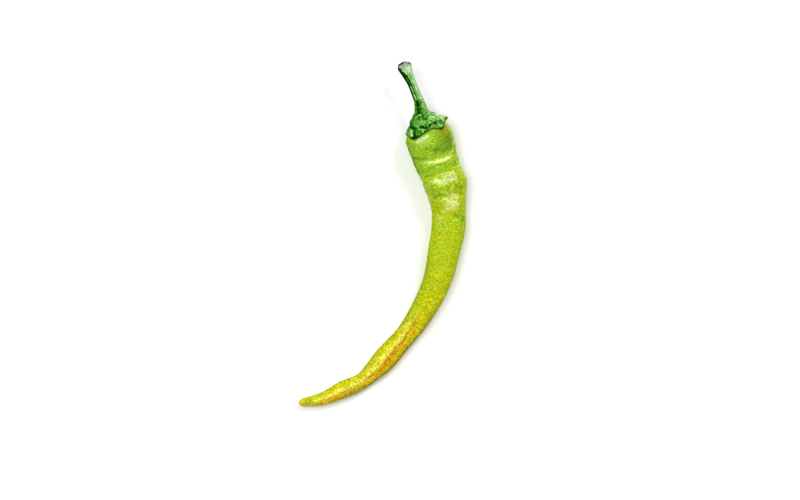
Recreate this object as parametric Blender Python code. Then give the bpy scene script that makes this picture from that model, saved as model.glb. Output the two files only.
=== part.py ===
"""A long, mild chilli pepper with a spiral twist, as picked: the fruit, and its calyx and stalk in one.

The pepper lies on its side on z = 0. Seen from above, its stalk points to +Y and its tip curls to -X. The
origin is on the surface that it lies on, under the middle of its bounding box. Sizes are in millimetres, and
wrap() turns them into the metres of the meshes. A station is a distance along a middle line, from the top of
the fruit. Angles round the fruit and the stalk are in degrees: seen from above with the stalk at the top, 0
is the right side, 90 is straight up and 270 is straight down.
"""

import bmesh
import bpy
import numpy as np

MM = 0.001
UP = np.array([0.0, 0.0, 1.0])

# The fruit's middle line seen from above, from under the calyx to the tip: x, y
FRUIT_LINE = [
    (21.0, 62.8),
    (24.3, 53.2),
    (28.1, 39.6),
    (33.0, 27.4),
    (34.9, 15.4),
    (35.2, 4.7),
    (33.2, -7.7),
    (29.8, -22.4),
    (23.6, -36.8),
    (15.9, -49.4),
    (6.1, -61.1),
    (-3.4, -71.5),
    (-11.9, -79.2),
    (-22.2, -83.9),
    (-33.0, -88.7),
    (-45.9, -91.2),
]
# Half the fruit's width at stations along that line, as if it had no rounded ends
HALF_WIDTH = [
    (0.0, 13.1),
    (10.5, 13.0),
    (18.0, 12.6),
    (25.0, 11.8),
    (31.0, 11.35),
    (37.5, 11.6),
    (43.0, 10.6),
    (50.0, 9.3),
    (60.5, 9.15),
    (72.5, 8.7),
    (96.0, 7.4),
    (111.0, 6.5),
    (126.0, 5.65),
    (142.0, 6.2),
    (158.0, 4.35),
    (170.0, 4.6),
    (181.0, 3.55),
    (196.0, 1.9),
]
# How far the belly is off the surface that the pepper lies on: under 0 it is pressed flat there
BELLY_GAP = [
    (0.0, 3.2),
    (10.5, 0.9),
    (21.0, -0.3),
    (38.0, 0.3),
    (52.0, -0.3),
    (95.0, 2.2),
    (135.0, 0.6),
    (150.0, -0.2),
    (170.0, 0.2),
    (196.0, 1.6),
]
CAP_LENGTH = 10.8  # the rounded shoulder, from its top to the full width
CAP_ROUNDNESS = 1.55  # the power of its curve: 2 would be an ellipse
TIP_LENGTH = 3.2

# The fruit's chambers show as lobes that wind round it, and the seam lies between two of them
LOBES = 3
SEAM_ANGLE = [
    (0, -75),
    (30, -62),
    (60, -35),
    (88, 30),
    (104, 80),
    (113, 93),
    (126, 88),
    (140, 84),
    (160, 74),
    (182, 69),
    (196, 68),
]
LOBE_DEPTH = [(0, 0.0), (14, 0.030), (60, 0.022), (110, 0.022), (150, 0.030), (196, 0.02)]
SEAM_DEPTH = [(0, 0.5), (40, 0.3), (90, 0.0), (112, 0.25), (150, 0.35), (185, 0.2), (196, 0.0)]
SEAM_WIDTH = 13.0

# Folds across the fruit: station, height, reach along it, middle angle, reach round it
FOLDS = [
    (21.3, -0.80, 2.2, 95, 85),
    (25.0, 0.55, 2.2, 60, 60),
    (31.0, -0.50, 2.6, 80, 80),
    (36.8, 0.60, 2.8, 65, 70),
    (42.6, -0.55, 2.2, 95, 80),
    (46.6, 0.35, 1.5, 60, 50),
    (50.4, 0.35, 1.5, 55, 50),
    (54.6, -0.30, 2.2, 80, 80),
]
FOLD_SLANT = 1.6  # how far a fold's right end lies nearer the tip than its left end

# The calyx: how far its rim reaches down the fruit's shoulder between the teeth
RIM_STATION = 5.6
CALYX_GAP = 0.3
# Its teeth: angle, added reach, lift off the fruit, width in degrees
TEETH = [
    (9, 0.3, 2.6, 23),
    (48, 2.0, 0.2, 13),
    (129, 2.3, 0.0, 25),
    (176, 0.4, 0.3, 12),
    (224, 1.7, 0.5, 18),
    (272, 1.1, 0.3, 15),
    (318, 1.7, 0.6, 17),
]
# Its crown, from the stalk out to the crease: share of the way, station, height over the fruit
CROWN = [(0.0, 0.6, 4.2), (0.3, 1.3, 2.9), (0.6, 2.0, 2.1), (0.82, 2.6, 1.5), (1.0, 3.1, 1.1)]
# Its brim, from the crease out to the rim: share of the way, height over the fruit
BRIM = [(0.0, 1.1), (0.2, 1.3), (0.5, 1.3), (0.8, 1.1), (1.0, 0.95)]
DOME_HEIGHT = 1.15  # its bulges, from the ribs between them
RIB_DEPTH = 0.4  # how far the ribs lie under that curve
RIB_ANGLES = (8, 58, 114, 178, 224, 272, 318)
RIB_WIDTH = 12.0
# Pleats of the brim, from the crease to the rim: angle, height, width in degrees
PLEATS = [
    (156, 0.2, 9),
    (141, 0.5, 7),
    (131, -0.6, 6),
    (120, 0.4, 8),
    (101, 0.3, 9),
    (88, -0.2, 8),
    (72, 0.4, 8),
    (60, -0.3, 6),
    (49, 0.3, 6),
    (32, -0.4, 8),
    (224, 0.3, 9),
    (248, -0.3, 9),
    (272, 0.3, 9),
    (295, -0.3, 9),
    (318, 0.3, 9),
]

# The stalk's middle line, from the top of the fruit to its free end: x, y, z
STALK_LINE = [
    (21.0, 62.8, 16.4),
    (20.2, 67.6, 17.5),
    (18.7, 73.0, 18.6),
    (17.2, 77.0, 19.3),
    (15.2, 81.8, 20.0),
    (13.0, 86.2, 20.4),
    (11.6, 89.6, 20.5),
    (11.0, 91.2, 20.5),
]
STALK_HALF_WIDTH = [(0, 4.9), (4, 3.5), (8, 2.85), (15, 2.4), (21, 2.5), (25, 3.05), (29, 3.8), (31, 3.8)]
STALK_RIBS = 6
STALK_RIB_ANGLE = 106.0
STALK_RIB_DEPTH = 0.10
# A hollow under one rib near the free end: angle, width in degrees, station, reach along, depth
HOLLOW = (147.0, 26.0, 25.5, 3.5, 0.55)
STALK_ROOT = (1.5, 6.5)  # stations between which the calyx turns into the stalk
SCAR_SLANT = 0.85  # the free end slants, so that the scar where it came off the plant faces half upwards
SLANT_REACH = 9.0
SCAR_WIDTH = 0.72  # the scar's share of the end

# How far apart the rings of the fruit's mesh are: station, spacing
RING_SPACING = [(0, 0.5), (5, 1.1), (12, 1.5), (56, 1.5), (75, 2.8), (184, 2.8), (191, 1.0), (195, 0.4)]
FRUIT_SEGMENTS, CALYX_SEGMENTS = 36, 72
UNDER_RINGS, BRIM_RINGS, CROWN_RINGS = 7, 9, 10
ROOT_RINGS, STALK_RINGS = 4, 15


def curve_through(knots, at):
    """A smooth curve through knots of (station, value, ...), read at an array of stations."""
    knots = np.asarray(knots, float)
    x, y = knots[:, 0], knots[:, 1:]
    slope = np.gradient(y, x, axis=0)
    at = np.clip(np.asarray(at, float), x[0], x[-1])
    i = np.clip(np.searchsorted(x, at, side="right") - 1, 0, len(x) - 2)
    width = (x[i + 1] - x[i])[..., None]
    t = ((at - x[i])[..., None]) / width
    ease = t * t * (3 - 2 * t)
    start = y[i] + slope[i] * t * (1 - t) ** 2 * width
    end = -slope[i + 1] * t * t * (1 - t) * width
    return start + ease * (y[i + 1] - y[i]) + end


def value_at(knots, at):
    """The same for knots of (station, value)."""
    return curve_through(knots, at)[..., 0]


def with_stations(points):
    """Points with the length of the line up to each of them in front."""
    points = np.asarray(points, float)
    steps = np.linalg.norm(np.diff(points[:, :2], axis=0), axis=1)
    return np.column_stack([np.concatenate([[0.0], np.cumsum(steps)]), points])


FRUIT_KNOTS = with_stations(FRUIT_LINE)
FRUIT_LENGTH = FRUIT_KNOTS[-1, 0]
STALK_KNOTS = with_stations(STALK_LINE)
STALK_LENGTH = STALK_KNOTS[-1, 0]


def unit(vectors):
    return vectors / np.linalg.norm(vectors, axis=-1, keepdims=True)


def apart(angle, middle):
    """How many degrees an angle is from another, at most 180."""
    return np.abs((np.asarray(angle) - middle + 180.0) % 360.0 - 180.0)


def bump(distance, reach):
    """1 at no distance, falling smoothly to nothing a little past the reach."""
    return np.exp(-((distance / reach) ** 2))


def section_axes(along):
    """The right and up directions of sections across a line that runs from the stalk to the tip."""
    right = unit(np.cross(UP, along))
    return right, np.cross(along, right)


def fruit_middle(station):
    """The fruit's middle line in space: its height is half the width plus the gap under the belly."""
    plan = curve_through(FRUIT_KNOTS, station)
    height = value_at(HALF_WIDTH, station) + value_at(BELLY_GAP, station)
    return np.concatenate([plan, height[..., None]], axis=-1)


def fold_height(station, angle):
    """How far the folds across the fruit raise its skin."""
    total = np.zeros(np.broadcast(station, angle).shape)
    for middle, height, along, toward, reach in FOLDS:
        slant = FOLD_SLANT * np.cos(np.radians(angle))
        total += height * bump(station - middle - slant, along) * bump(apart(angle, toward), reach)
    return total


def fruit_radius(station, angle):
    """The fruit's radius at a station and an angle."""
    cap = 1 - np.clip(1 - station / CAP_LENGTH, 0, 1) ** CAP_ROUNDNESS
    tip = 1 - np.clip(1 - (FRUIT_LENGTH - station) / TIP_LENGTH, 0, 1) ** 2
    ends = cap ** (1 / CAP_ROUNDNESS) * np.sqrt(tip)
    seam = value_at(SEAM_ANGLE, station)
    lobes = -value_at(LOBE_DEPTH, station) * np.cos(np.radians(LOBES * (angle - seam)))
    groove = value_at(SEAM_DEPTH, station) * bump(apart(angle, seam), SEAM_WIDTH)
    return ends * (value_at(HALF_WIDTH, station) * (1 + lobes) + fold_height(station, angle) - groove)


def fruit_skin(station, angle):
    """Points on the fruit's skin, pressed flat where it lies on the surface."""
    station, angle = np.broadcast_arrays(np.asarray(station, float), np.asarray(angle, float))
    step = 0.05
    ahead = np.minimum(station + step, FRUIT_LENGTH)
    behind = np.maximum(station - step, 0.0)
    right, up = section_axes(unit(fruit_middle(ahead) - fruit_middle(behind)))
    turn = np.radians(angle)[..., None]
    offset = np.cos(turn) * right + np.sin(turn) * up
    points = fruit_middle(station) + fruit_radius(station, angle)[..., None] * offset
    points[..., 2] = np.maximum(points[..., 2], 0.0)
    return points


def over_skin(station, angle, height):
    """Points at a height over the fruit's skin, square to it."""
    station, angle, height = np.broadcast_arrays(station, angle, height)
    least = 0.4
    near = np.maximum(station, least)
    down = fruit_skin(near + least / 2, angle) - fruit_skin(near - least / 2, angle)
    round_it = fruit_skin(near, angle + 1.0) - fruit_skin(near, angle - 1.0)
    return fruit_skin(station, angle) + height[..., None] * unit(np.cross(round_it, down))


def stalk_skin(station, angle):
    """Points on the stalk: ribbed lengthwise, with its free end slanting."""
    step = 0.05
    ahead = curve_through(STALK_KNOTS, np.minimum(station + step, STALK_LENGTH))
    behind = curve_through(STALK_KNOTS, np.maximum(station - step, 0.0))
    along = unit(behind - ahead)
    right, up = section_axes(along)
    crest = np.abs(np.cos(np.radians(STALK_RIBS / 2 * (angle - STALK_RIB_ANGLE))))
    toward, width, middle, reach, depth = HOLLOW
    hollow = depth * bump(apart(angle, toward), width) * bump(station - middle, reach)
    radius = value_at(STALK_HALF_WIDTH, station) * (1 + STALK_RIB_DEPTH * (crest**1.5 - 0.5)) - hollow
    turn = np.radians(angle)[..., None]
    offset = radius[..., None] * (np.cos(turn) * right + np.sin(turn) * up)
    slant = SCAR_SLANT * np.clip(1 - (STALK_LENGTH - station) / SLANT_REACH, 0, 1) ** 2
    return curve_through(STALK_KNOTS, station) + offset + slant[..., None] * offset[..., 2:] * along


def rim_station(angle):
    """How far down the shoulder the calyx reaches at an angle."""
    return RIM_STATION + sum(reach * bump(apart(angle, toward), width) for toward, reach, _, width in TEETH)


def brim_lift(share, angle):
    """How far the teeth stand off the fruit at a share of the way from the middle to the rim."""
    at_rim = sum(lift * bump(apart(angle, toward), width) for toward, _, lift, width in TEETH)
    return at_rim * np.clip((share - 0.2) / 0.8, 0, 1) ** 0.8


def crown_skin(way, angle):
    """Points on the calyx's crown, from the stalk out to the crease: it bulges between each two ribs."""
    place = curve_through(CROWN, np.full_like(angle, way))
    dome = 1.0 - sum(bump(apart(angle, rib), RIB_WIDTH) for rib in RIB_ANGLES)
    height = place[:, 1] + (DOME_HEIGHT * dome - RIB_DEPTH) * bump(way - 0.66, 0.28)
    return over_skin(place[:, 0], angle, height + brim_lift(place[:, 0] / rim_station(angle), angle))


def brim_skin(way, angle):
    """Points on the calyx's brim, from the crease out to the rim."""
    crease = CROWN[-1][1]
    rim = rim_station(angle)
    station = crease + way * (rim - crease)
    pleats = sum(height * bump(apart(angle, toward), width) for toward, height, width in PLEATS)
    height = value_at(BRIM, np.full_like(angle, way)) + pleats * min(1.0, 4 * way, 4.6 - 4 * way)
    return over_skin(station, angle, height + brim_lift(station / rim, angle))


def ring_angles(segments):
    return np.arange(segments) * 360.0 / segments


def fruit_rings():
    """Rings of points round the fruit, from its tip to its top."""
    fine = np.linspace(0, FRUIT_LENGTH, 4000)
    rings_up_to = np.cumsum(1 / np.interp(fine, *np.transpose(RING_SPACING))) * fine[1]
    count = round(rings_up_to[-1])
    stations = np.interp(np.linspace(rings_up_to[-1], rings_up_to[0], count), rings_up_to, fine)
    return fruit_skin(stations[:, None], ring_angles(FRUIT_SEGMENTS)[None, :])


def calyx_rings():
    """Rings from the middle of the calyx's underside to its rim, then back over it and up the stalk."""
    angle = ring_angles(CALYX_SEGMENTS)
    rim = rim_station(angle)
    rings = []
    for share in np.linspace(0, 0.985, UNDER_RINGS):
        rings.append(over_skin(share * rim, angle, CALYX_GAP + brim_lift(share, angle)))
    rings.append(over_skin(1.03 * rim, angle, CALYX_GAP + 0.35 + brim_lift(1.0, angle)))
    for way in np.linspace(1.0, 0.0, BRIM_RINGS):
        rings.append(brim_skin(way, angle))
    for way in np.linspace(0.88, 0.0, CROWN_RINGS):
        rings.append(crown_skin(way, angle))
    root, free = STALK_ROOT
    crown = rings[-1]
    for way in np.linspace(0, 1, ROOT_RINGS + 2)[1:-1]:
        ease = way * (2 - way)
        stem = stalk_skin(np.full_like(angle, root + (free - root) * way), angle)
        rings.append((1 - ease) * crown + ease * stem)
    for station in np.linspace(free, STALK_LENGTH - 1.2, STALK_RINGS):
        rings.append(stalk_skin(np.full_like(angle, station), angle))
    rings.extend(scar_rings(rings[-1]))
    return np.array(rings)


def scar_rings(last):
    """Rings that round off the stalk's end and dip into the scar where it came off the plant."""
    middle = last.mean(axis=0)
    quarter = len(last) // 4
    out = unit(np.cross(last[quarter] - middle, last[0] - middle))
    edge = [(0.97, 0.6), (0.87, 1.1), (SCAR_WIDTH, 1.2)]
    bowl = [(0.93 * SCAR_WIDTH, 0.95), (0.4 * SCAR_WIDTH, 0.75), (0.0, 0.9)]
    return [middle + (last - middle) * width + out * height for width, height in edge + bowl]


def wrap(name, rings, material):
    """A closed skin over rings of points: a sphere whose rings of vertices move onto them, pole to pole."""
    last, around = len(rings) - 1, rings.shape[1]
    shape = bmesh.new()
    bmesh.ops.create_uvsphere(shape, u_segments=around, v_segments=last, radius=1)
    for vertex in shape.verts:
        x, y, z = vertex.co
        ring = round(np.arccos(np.clip(z, -1, 1)) / np.pi * last)
        place = round(np.arctan2(y, x) / (2 * np.pi) * around) % around
        vertex.co = rings[ring][place] * MM
    mesh = bpy.data.meshes.new(name)
    shape.to_mesh(mesh)
    shape.free()
    mesh.shade_smooth()
    mesh.materials.append(material)
    piece = bpy.data.objects.new(name, mesh)
    bpy.data.collections["chilli_pepper"].objects.link(piece)
    return piece


def skin_material(name, colour, roughness):
    material = bpy.data.materials.new(name)
    material.use_nodes = True
    shader = material.node_tree.nodes["Principled BSDF"]
    shader.inputs["Base Color"].default_value = (*colour, 1.0)
    shader.inputs["Roughness"].default_value = roughness
    shader.inputs["Metallic"].default_value = 0.0
    material.diffuse_color = (*colour, 1.0)
    return material


def main():
    for old in list(bpy.data.objects):
        bpy.data.objects.remove(old)
    pepper = bpy.data.collections.new("chilli_pepper")
    bpy.context.scene.collection.children.link(pepper)
    wrap("fruit", fruit_rings(), skin_material("fruit_skin", (0.42, 0.55, 0.03), 0.32))
    wrap("calyx_and_stalk", calyx_rings(), skin_material("calyx_green", (0.06, 0.20, 0.03), 0.5))


main()
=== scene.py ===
"""The looks of a long, mild chilli pepper that was picked and laid down: its fruit, its calyx and its stalk.

Both pieces repeat the forms of the part's solids, on finer meshes that add the small relief. Each mesh also
carries marks, which are numbers at its points that say where the skin is ripe or cracked and where
highlights and shade are painted on it. The materials turn the marks and noise into colour, gloss and pores.

Sizes are in millimetres, and MM turns them into metres. A station is a distance along a middle line, from
the top of the fruit. Angles round the fruit and the stalk are in degrees: seen from above with the stalk at
the top, 0 is the right side, 90 is straight up and 270 is straight down.

Unless a comment says otherwise, the rows below are of four kinds. Curve: station, value. Patch: station,
angle, reach along the skin, reach round it in degrees, amount. Line: angle and station of both ends, half
width, amount. Noise of the meshes: seed, wavelength, most crests round the skin.
"""

import bpy
import numpy as np
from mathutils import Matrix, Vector


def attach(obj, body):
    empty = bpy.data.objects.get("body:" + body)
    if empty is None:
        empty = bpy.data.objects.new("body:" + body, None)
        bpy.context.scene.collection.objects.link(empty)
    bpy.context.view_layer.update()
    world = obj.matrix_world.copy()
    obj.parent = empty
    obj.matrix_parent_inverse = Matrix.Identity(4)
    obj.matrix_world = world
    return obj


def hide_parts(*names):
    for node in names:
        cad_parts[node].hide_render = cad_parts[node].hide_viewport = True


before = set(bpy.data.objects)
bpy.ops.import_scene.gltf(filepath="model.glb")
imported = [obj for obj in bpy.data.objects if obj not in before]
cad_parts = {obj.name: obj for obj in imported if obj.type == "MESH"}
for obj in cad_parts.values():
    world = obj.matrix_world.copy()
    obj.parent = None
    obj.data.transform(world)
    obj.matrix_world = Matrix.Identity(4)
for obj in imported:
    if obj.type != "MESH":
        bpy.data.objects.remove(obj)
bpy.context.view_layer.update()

MM = 0.001
UP = np.array([0.0, 0.0, 1.0])
# How far ahead and behind a middle line's direction is taken from
STEP = 0.05

# The forms that the part's solids have, with the same values

# The fruit's middle line seen from above, from under the calyx to the tip: x, y
FRUIT_LINE = [
    (21, 62.8), (24.3, 53.2), (28.1, 39.6), (33, 27.4), (34.9, 15.4), (35.2, 4.7), (33.2, -7.7),
    (29.8, -22.4), (23.6, -36.8), (15.9, -49.4), (6.1, -61.1), (-3.4, -71.5), (-11.9, -79.2), (-22.2, -83.9),
    (-33, -88.7), (-45.9, -91.2),
]
# Half the fruit's width along that line, as if it had no rounded ends
HALF_WIDTH = [
    (0, 13.1), (10.5, 13), (18, 12.6), (25, 11.8), (31, 11.35), (37.5, 11.6), (43, 10.6), (50, 9.3),
    (60.5, 9.15), (72.5, 8.7), (96, 7.4), (111, 6.5), (126, 5.65), (142, 6.2), (158, 4.35), (170, 4.6),
    (181, 3.55), (196, 1.9),
]
# How far the belly is off the surface: it is pressed flat where this is negative
BELLY_GAP = [
    (0, 3.2), (10.5, 0.9), (21, -0.3), (38, 0.3), (52, -0.3), (95, 2.2), (135, 0.6), (150, -0.2), (170, 0.2),
    (196, 1.6),
]
# How long the fruit's rounded top and tip are, and how square the top is: 2 would be an ellipse
CAP_LENGTH = 10.8
CAP_ROUNDNESS = 1.55
TIP_LENGTH = 3.2

# The lobes, and the angle of the seam that they turn round the fruit with
LOBES = 3
SEAM_ANGLE = [
    (0, -75), (30, -62), (60, -35), (88, 30), (104, 80), (113, 93), (126, 88), (140, 84), (160, 74),
    (182, 69), (196, 68),
]
# How deep the lobes are, as a share of half the fruit's width
LOBE_DEPTH = [(0, 0), (14, 0.03), (60, 0.022), (110, 0.022), (150, 0.03), (196, 0.02)]
# How deep the seam's groove is, and its width in degrees
SEAM_DEPTH = [(0, 0.5), (40, 0.3), (90, 0), (112, 0.25), (150, 0.35), (185, 0.2), (196, 0)]
SEAM_WIDTH = 13.0

# Folds across the fruit: station, height, reach along it, middle angle, reach round it
FOLDS = [
    (21.3, -0.8, 2.2, 95, 85), (25, 0.55, 2.2, 60, 60), (31, -0.5, 2.6, 80, 80), (36.8, 0.6, 2.8, 65, 70),
    (42.6, -0.55, 2.2, 95, 80), (46.6, 0.35, 1.5, 60, 50), (50.4, 0.35, 1.5, 55, 50),
    (54.6, -0.3, 2.2, 80, 80),
]
# How much nearer to the tip a fold lies on the fruit's right side than in its middle
FOLD_SLANT = 1.6

# The calyx: the station of its rim between two teeth, and the gap between it and the fruit
RIM_STATION = 5.6
CALYX_GAP = 0.3
# Its teeth: angle, added reach, lift off the fruit, width in degrees
TEETH = [
    (9, 0.3, 2.6, 23), (48, 2, 0.2, 13), (129, 2.3, 0, 25), (176, 0.4, 0.3, 12), (224, 1.7, 0.5, 18),
    (272, 1.1, 0.3, 15), (318, 1.7, 0.6, 17),
]
# Where the teeth start to lift, as a share of the way to the rim, and by which power they do
LIFT_START, LIFT_POWER = 0.2, 0.8
# Its crown, out to the crease: share of the way from the stalk, station, height over the fruit
CROWN = [(0, 0.6, 4.2), (0.3, 1.3, 2.9), (0.6, 2, 2.1), (0.82, 2.6, 1.5), (1, 3.1, 1.1)]
CREASE = CROWN[-1][1]
# Its brim: share of the way from the crease to the rim, height over the fruit
BRIM = [(0, 1.1), (0.2, 1.3), (0.5, 1.3), (0.8, 1.1), (1, 0.95)]
# The crown bulges between its ribs: how high, how deep the ribs lie, their angles and width in degrees
DOME_HEIGHT = 1.15
RIB_DEPTH = 0.4
RIB_ANGLES = (8, 58, 114, 178, 224, 272, 318)
RIB_WIDTH = 12.0
# The share of the way to the crease where the bulges are highest, and their reach
BULGE_WAY, BULGE_REACH = 0.66, 0.28
# The brim's pleats: angle, height, width in degrees
PLEATS = [
    (156, 0.2, 9), (141, 0.5, 7), (131, -0.6, 6), (120, 0.4, 8), (101, 0.3, 9), (88, -0.2, 8), (72, 0.4, 8),
    (60, -0.3, 6), (49, 0.3, 6), (32, -0.4, 8), (224, 0.3, 9), (248, -0.3, 9), (272, 0.3, 9), (295, -0.3, 9),
    (318, 0.3, 9),
]
# How fast they rise from the crease and fall towards the rim, and what they fall from
PLEAT_SLOPE, PLEAT_FALL = 4.0, 4.6

# The stalk's middle line, from the top of the fruit to its free end: x, y, z
STALK_LINE = [
    (21, 62.8, 16.4), (20.2, 67.6, 17.5), (18.7, 73, 18.6), (17.2, 77, 19.3), (15.2, 81.8, 20),
    (13, 86.2, 20.4), (11.6, 89.6, 20.5), (11, 91.2, 20.5),
]
# Half its width
STALK_HALF_WIDTH = [(0, 4.9), (4, 3.5), (8, 2.85), (15, 2.4), (21, 2.5), (25, 3.05), (29, 3.8), (31, 3.8)]
# Its ribs: how many, the angle of one, depth as a share of half the width, and the power that rounds them
STALK_RIBS = 6
STALK_RIB_ANGLE = 106.0
STALK_RIB_DEPTH = 0.10
STALK_RIB_POWER = 1.5
# The hollow on its left side: angle, width in degrees, station, reach along it, depth
HOLLOW = (147.0, 26.0, 25.5, 3.5, 0.55)
# The stations where the calyx's crown turns into the stalk
STALK_ROOT = (1.5, 6.5)
# How far its end slants, as a share of the height over the middle line, and over what length
SCAR_SLANT = 0.85
SLANT_REACH = 9.0
# Its end, from its side to the middle of the scar: share of the way, share of its width, height
SCAR_PROFILE = [
    (0, 1, 0), (0.12, 0.97, 0.6), (0.25, 0.87, 1.1), (0.4, 0.72, 1.2), (0.5, 0.67, 0.95), (0.8, 0.29, 0.75),
    (1, 0, 0.9),
]
# How long before the end of the middle line that starts
SCAR_LENGTH = 1.2

# The finer meshes: how far apart the fruit's rings are (station, spacing), and how many points a ring has
RING_SPACING = [(0, 0.12), (3, 0.42), (8, 0.5), (190, 0.5), (194, 0.2), (195.4, 0.08)]
FRUIT_SEGMENTS, CALYX_SEGMENTS = 240, 300
# How many rings are under the calyx, round its edge, on its brim and its crown, and along the stalk
UNDER_RINGS, EDGE_RINGS, BRIM_RINGS, CROWN_RINGS = 20, 8, 64, 56
ROOT_RINGS, STALK_RINGS, SCAR_RINGS = 22, 104, 24
# Where the calyx's underside ends and how far its edge bulges, as shares of the way to the rim
UNDER_SHARE, EDGE_BULGE = 0.985, 0.03


def curve_through(knots, at):
    """A smooth curve through rows of a station and one or more values, read at an array of stations."""
    knots = np.asarray(knots, float)
    x, y = knots[:, 0], knots[:, 1:]
    slope = np.gradient(y, x, axis=0)
    at = np.clip(np.asarray(at, float), x[0], x[-1])
    i = np.clip(np.searchsorted(x, at, side="right") - 1, 0, len(x) - 2)
    width = (x[i + 1] - x[i])[..., None]
    t = ((at - x[i])[..., None]) / width
    ease = t * t * (3 - 2 * t)
    start = y[i] + slope[i] * t * (1 - t) ** 2 * width
    end = -slope[i + 1] * t * t * (1 - t) * width
    return start + ease * (y[i + 1] - y[i]) + end


def value_at(knots, at):
    """The same where each row has one value."""
    return curve_through(knots, at)[..., 0]


def with_stations(points):
    """Points with the length of the line up to each of them in front."""
    points = np.asarray(points, float)
    steps = np.linalg.norm(np.diff(points[:, :2], axis=0), axis=1)
    return np.column_stack([np.concatenate([[0.0], np.cumsum(steps)]), points])


FRUIT_KNOTS = with_stations(FRUIT_LINE)
FRUIT_LENGTH = FRUIT_KNOTS[-1, 0]
STALK_KNOTS = with_stations(STALK_LINE)
STALK_LENGTH = STALK_KNOTS[-1, 0]


def unit(vectors):
    """The same directions with a length of 1."""
    return vectors / np.linalg.norm(vectors, axis=-1, keepdims=True)


def past(angle, middle):
    """How many degrees an angle is past another, from -180 to 180."""
    return (np.asarray(angle) - middle + 180.0) % 360.0 - 180.0


def apart(angle, middle):
    """How many degrees an angle is from another, at most 180."""
    return np.abs(past(angle, middle))


def bump(distance, reach):
    """1 at no distance, about a third at the reach, and falling smoothly to nothing."""
    return np.exp(-((distance / reach) ** 2))


def rise(value, low, high):
    """0 below low, 1 above high, and a smooth rise between."""
    t = np.clip((value - low) / (high - low), 0, 1)
    return t * t * (3 - 2 * t)


# How many waves a noise is made of, and its usual peak once they are evened out
WAVE_COUNT, WAVE_PEAK = 60, 1.6


def waves(station, angle, seed, wavelength, most_around):
    """Smooth noise over a skin, about -1 to 1: waves of about one length, with a few crests round it."""
    draw = np.random.default_rng(seed)
    total = np.zeros(np.broadcast(station, angle).shape)
    for _ in range(WAVE_COUNT):
        pace = draw.uniform(0.5, 1.5) * 2 * np.pi / wavelength
        crests = draw.integers(-most_around, most_around + 1)
        start = draw.uniform(0, 2 * np.pi)
        total += np.sin(pace * station + crests * np.radians(angle) + start)
    return total * np.sqrt(2 / WAVE_COUNT) / WAVE_PEAK


def places_round(rows, angle):
    """What a list of soft places round a skin adds up to: angle, amount, width in degrees."""
    return sum(amount * bump(apart(angle, toward), width) for toward, amount, width in rows)


def patches(rows, station, angle):
    """What a list of patches adds up to."""
    total = np.zeros(np.broadcast(station, angle).shape)
    for middle, toward, along, round_it, amount in rows:
        total += amount * bump(station - middle, along) * bump(apart(angle, toward), round_it)
    return total


def from_line(row, station, angle, radius):
    """How many millimetres points are from a row's line, on a flat chart of the skin.

    A radian round the skin is as wide on the chart as the radius.
    """
    start_angle, start, end_angle, end = row[:4]
    across = np.radians(past(angle, start_angle)) * radius
    down = station - start
    line = np.array([np.radians(end_angle - start_angle) * radius, end - start])
    share = np.clip((across * line[0] + down * line[1]) / (line @ line), 0, 1)
    return np.hypot(across - share * line[0], down - share * line[1])


def strokes(rows, station, angle, radius):
    """What a list of lines adds up to."""
    total = np.zeros(np.broadcast(station, angle).shape)
    for row in rows:
        total += row[5] * bump(from_line(row, station, angle, radius), row[4])
    return total


def section_axes(along):
    """The right and up directions of sections across a line that runs from the stalk to the tip."""
    right = unit(np.cross(UP, along))
    return right, np.cross(along, right)


# The fruit


def fruit_middle(station):
    """The fruit's middle line in space: its height is half the width plus the gap under the belly."""
    plan = curve_through(FRUIT_KNOTS, station)
    height = value_at(HALF_WIDTH, station) + value_at(BELLY_GAP, station)
    return np.concatenate([plan, height[..., None]], axis=-1)


def fold_height(station, angle):
    """How far the folds across the fruit raise its skin."""
    total = np.zeros(np.broadcast(station, angle).shape)
    for middle, height, along, toward, reach in FOLDS:
        slant = FOLD_SLANT * np.cos(np.radians(angle))
        total += height * bump(station - middle - slant, along) * bump(apart(angle, toward), reach)
    return total


def fruit_radius(station, angle):
    """The fruit's radius at a station and an angle."""
    cap = 1 - np.clip(1 - station / CAP_LENGTH, 0, 1) ** CAP_ROUNDNESS
    tip = 1 - np.clip(1 - (FRUIT_LENGTH - station) / TIP_LENGTH, 0, 1) ** 2
    ends = cap ** (1 / CAP_ROUNDNESS) * np.sqrt(tip)
    seam = value_at(SEAM_ANGLE, station)
    lobes = -value_at(LOBE_DEPTH, station) * np.cos(np.radians(LOBES * (angle - seam)))
    groove = value_at(SEAM_DEPTH, station) * bump(apart(angle, seam), SEAM_WIDTH)
    return ends * (value_at(HALF_WIDTH, station) * (1 + lobes) + fold_height(station, angle) - groove)


def fruit_skin(station, angle, radius=fruit_radius):
    """Points on the fruit's skin, pressed flat where it lies on the surface."""
    station, angle = np.broadcast_arrays(np.asarray(station, float), np.asarray(angle, float))
    ahead = np.minimum(station + STEP, FRUIT_LENGTH)
    behind = np.maximum(station - STEP, 0.0)
    right, up = section_axes(unit(fruit_middle(ahead) - fruit_middle(behind)))
    turn = np.radians(angle)[..., None]
    offset = np.cos(turn) * right + np.sin(turn) * up
    points = fruit_middle(station) + radius(station, angle)[..., None] * offset
    points[..., 2] = np.maximum(points[..., 2], 0.0)
    return points


# Small relief of the fruit, deepest on its upper half: the height of soft wrinkles and of pleats
WRINKLE_HEIGHT = [(0, 0.02), (12, 0.05), (35, 0.1), (60, 0.06), (110, 0.03), (190, 0.02), (196, 0)]
PLEAT_HEIGHT = [(0, 0), (16, 0.02), (24, 0.05), (45, 0.05), (60, 0.02), (130, 0.02), (190, 0.02), (196, 0)]
# The noises that they follow
WRINKLE_WAVES, SMALL_WRINKLE_WAVES, PLEAT_WAVES = (3, 4.2, 2), (5, 2.1, 7), (7, 14.0, 26)
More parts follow.
